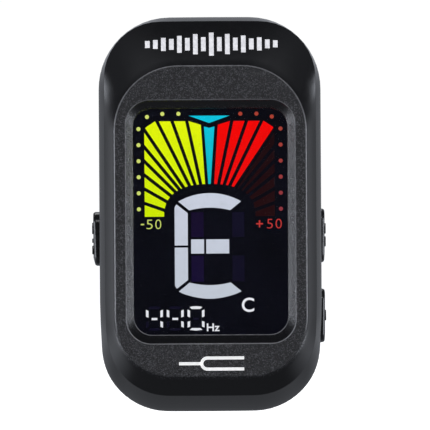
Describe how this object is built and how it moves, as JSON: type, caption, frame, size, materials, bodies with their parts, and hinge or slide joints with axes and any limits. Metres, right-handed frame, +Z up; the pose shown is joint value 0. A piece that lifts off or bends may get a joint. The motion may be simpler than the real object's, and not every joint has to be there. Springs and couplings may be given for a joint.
{
  "type": "clip-on tuner",
  "caption": "Compact clip-on instrument tuner: a display head on a swivel and tilt hinge, with a sprung padded clip for a headstock.",
  "frame": {"origin": "middle of the gripping face of the fixed pad, which rests on the headstock", "axes": "+Y out of the fixed pad's gripping face, away from the display; +Z up the display; +X to the right of someone who reads the display"},
  "size_m": [0.0334, 0.0355, 0.056],
  "materials": {
    "case_plastic": "spark-eroded face, satin sides",
    "clear_window": "clear, gloss",
    "liquid_crystal": "dark with lit segments",
    "white_plastic": "moulded",
    "button_rubber": "satin with raised marks",
    "clip_plastic": "fine moulded grain",
    "pad_rubber": "soft, ribbed",
    "steel": "nickel plated",
    "brass": "plain sheet",
    "ceramic": "silvered",
    "circuit_board": "solder mask",
    "chip_plastic": "moulded"
  },
  "bodies": {
    "clip": {"fixed_jaw": "clip_plastic", "fixed_pad": "pad_rubber", "jaw_pin": "steel", "pin_retainer": "steel", "jaw_spring": "steel"},
    "pivot": {"swivel_hub": "clip_plastic", "wave_washer": "steel", "retaining_washer": "steel", "swivel_screw": "steel", "tilt_screw": "steel", "tilt_nut": "steel", "tilt_washer_left": "white_plastic", "tilt_washer_right": "white_plastic"},
    "head": {"front_cover": "case_plastic", "rear_cover": "case_plastic", "display_window": "clear_window", "lcd_cell": "liquid_crystal", "lcd_frame": "white_plastic", "backlight_panel": "white_plastic", "backlight_led_left": "white_plastic", "backlight_led_right": "white_plastic", "zebra_strip": "pad_rubber", "main_board": "circuit_board", "tuner_chip": "chip_plastic", "crystal": "steel", "power_switch": "chip_plastic", "mode_switch": "chip_plastic", "pitch_switch": "chip_plastic", "coin_cell": "steel", "battery_holder": "chip_plastic", "battery_contact_negative": "brass", "battery_contact_positive": "brass", "piezo_plate": "brass", "piezo_ceramic": "ceramic", "piezo_contact": "brass", "case_screw_1": "steel", "case_screw_2": "steel", "case_screw_3": "steel", "case_screw_4": "steel"},
    "power": {"power_button": "button_rubber", "power_plunger": "white_plastic"},
    "mode": {"mode_button": "button_rubber", "mode_plunger": "white_plastic"},
    "pitch": {"pitch_button": "button_rubber", "pitch_plunger": "white_plastic"},
    "door": {"battery_door": "case_plastic"},
    "jaw": {"moving_jaw": "clip_plastic", "moving_pad": "pad_rubber"}
  },
  "joints": [
    {"name": "head_tilt", "type": "hinge", "parent": "clip", "child": "pivot", "pos_m": [0, -0.0027, 0.028], "axis": [-1, 0, 0], "range_deg": [0, 100]},
    {"name": "head_swivel", "type": "hinge", "parent": "pivot", "child": "head", "pos_m": [0, -0.0073, 0.028], "axis": [0, 1, 0], "continuous": true},
    {"name": "power_press", "type": "slide", "parent": "head", "child": "power", "axis": [1, 0, 0], "range_m": [0, 0.00035], "stiffness_N_per_m": 1000, "springref_m": -0.0005},
    {"name": "mode_press", "type": "slide", "parent": "head", "child": "mode", "axis": [-1, 0, 0], "range_m": [0, 0.00035], "stiffness_N_per_m": 1000, "springref_m": -0.0005},
    {"name": "pitch_press", "type": "slide", "parent": "head", "child": "pitch", "axis": [-1, 0, 0], "range_m": [0, 0.00035], "stiffness_N_per_m": 1000, "springref_m": -0.0005},
    {"name": "door_turn", "type": "hinge", "parent": "head", "child": "door", "pos_m": [0, -0.0075, 0.0035], "axis": [0, -1, 0], "range_deg": [0, 50]},
    {"name": "jaw_open", "type": "hinge", "parent": "clip", "child": "jaw", "pos_m": [0, 0.0013, 0.013], "axis": [1, 0, 0], "range_deg": [0, 42], "stiffness_Nm_per_rad": 0.1, "springref_deg": -57.3, "deforming": ["jaw_spring"]}
  ]
}
